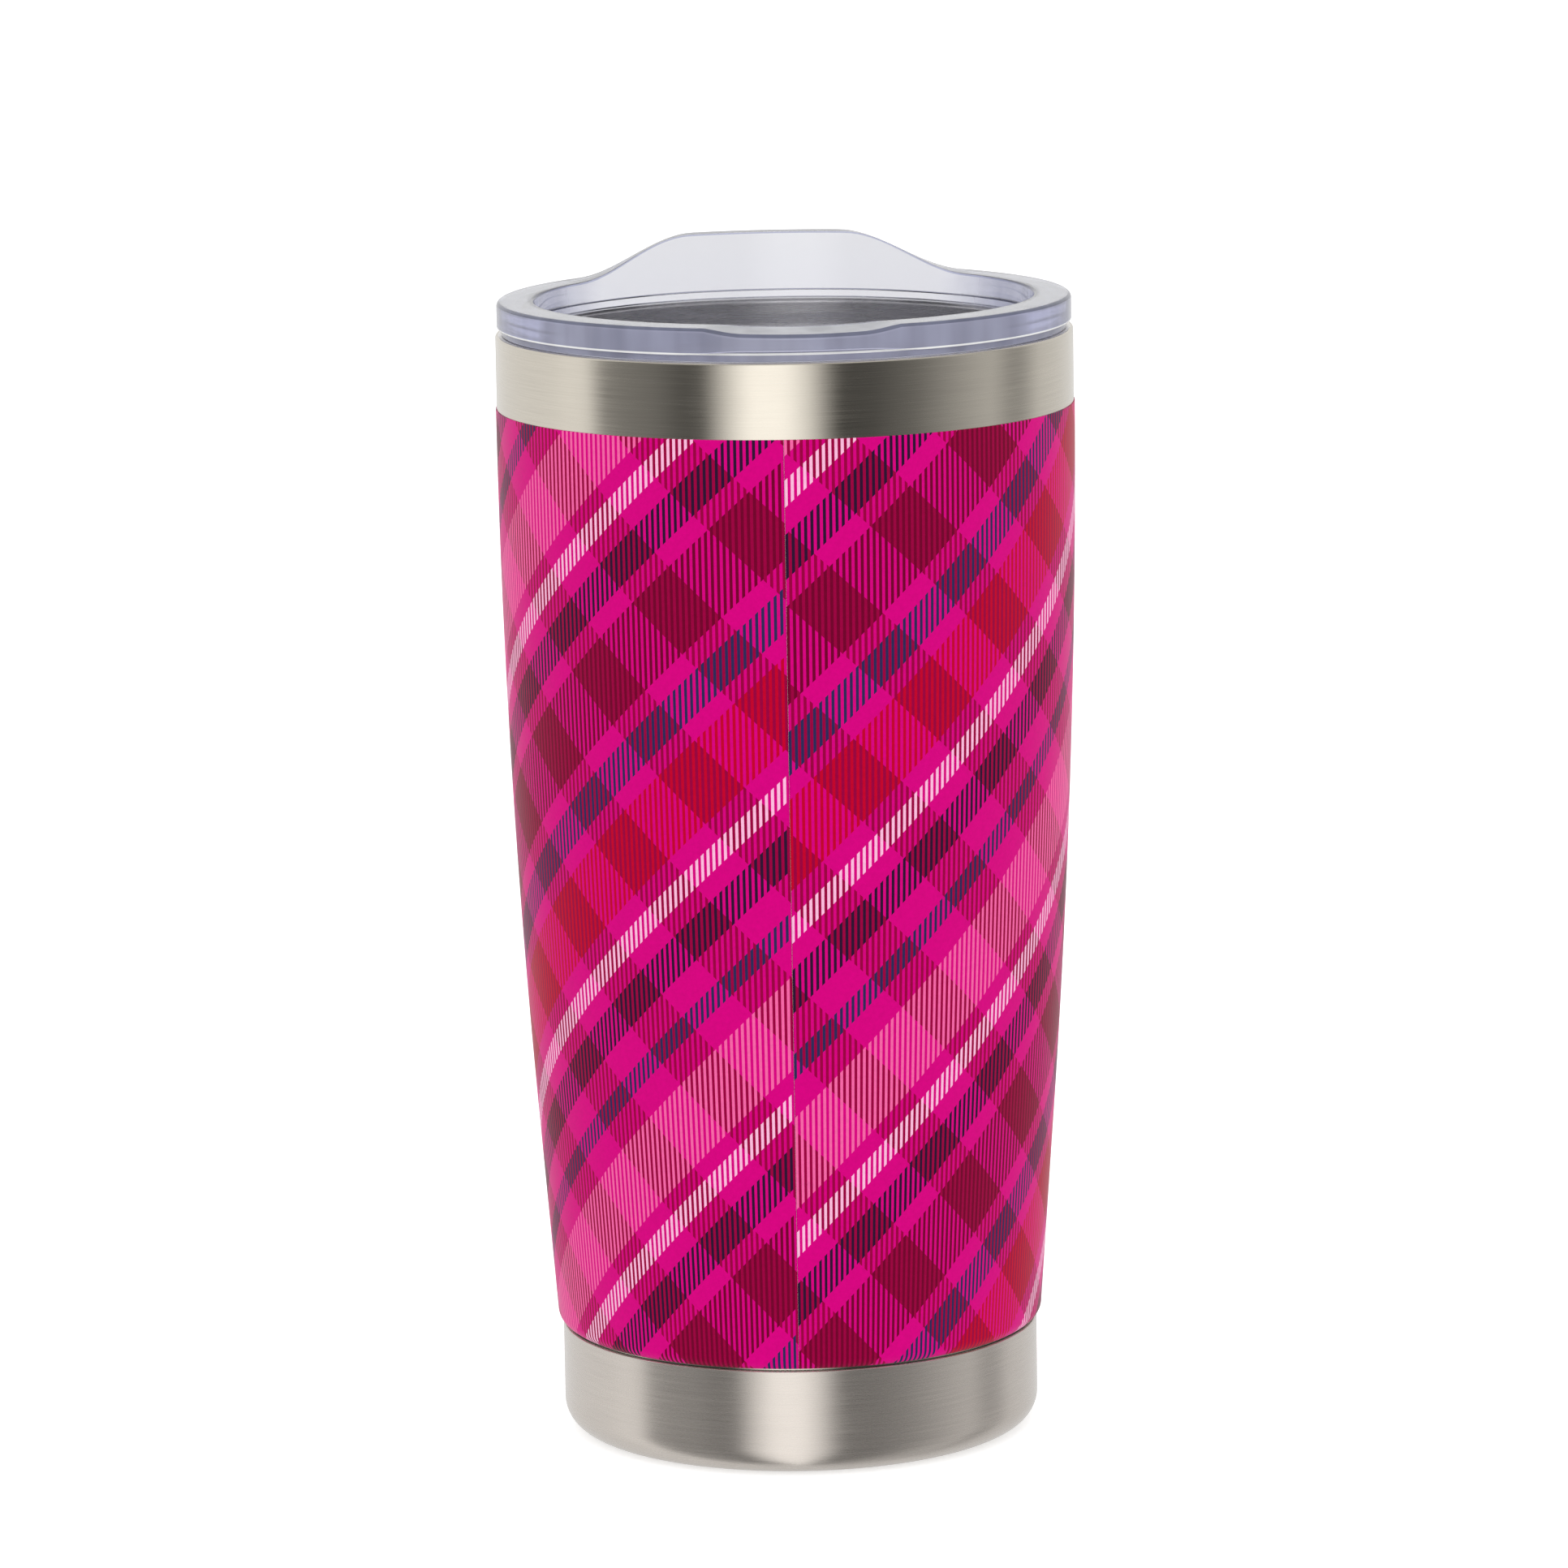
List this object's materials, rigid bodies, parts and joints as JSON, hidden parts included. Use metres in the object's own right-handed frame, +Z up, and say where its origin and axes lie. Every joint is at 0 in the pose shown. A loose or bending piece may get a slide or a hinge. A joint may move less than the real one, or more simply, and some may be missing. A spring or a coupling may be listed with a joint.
{
  "type": "insulated tumbler with lid",
  "caption": "Tapered double-wall steel tumbler with a tartan printed wrap, a bare steel base cup and a clear press-in lid with a raised wall.",
  "frame": {"origin": "centre of the foot ring, on the surface that the tumbler stands on", "axes": "+Z up along the tumbler's axis, +Y towards the lid's raised wall and drink slot, -Y towards the lid's dip"},
  "size_m": [0.0892, 0.0892, 0.1831],
  "materials": {
    "shell_steel": "satin brushed round the body",
    "liner_steel": "satin",
    "inner_sheet": "mill",
    "getter": "pressed powder",
    "solder_glass": "glazed",
    "adhesive": "matte",
    "base_steel": "satin brushed round the cup",
    "print": "printed tartan, satin",
    "clear_plastic": "clear moulded plastic",
    "silicone": "translucent silicone"
  },
  "bodies": {
    "tumbler": {"outer_shell": "shell_steel", "inner_liner": "liner_steel", "vacuum_bottom": "inner_sheet", "getter_pellet": "getter", "getter_clip": "inner_sheet", "vacuum_seal": "solder_glass", "base_adhesive": "adhesive", "base_cup": "base_steel", "printed_wrap": "print"},
    "gasket": {"lid_gasket": "silicone"},
    "lid": {"lid_body": "clear_plastic"}
  },
  "joints": [
    {"name": "lid_lift", "type": "slide", "parent": "tumbler", "child": "gasket", "axis": [0, 0, 1], "range_m": [0, 0.12]},
    {"name": "lid_turn", "type": "hinge", "parent": "gasket", "child": "lid", "pos_m": [0, 0, 0.1734], "axis": [0, 0, 1], "continuous": true}
  ]
}
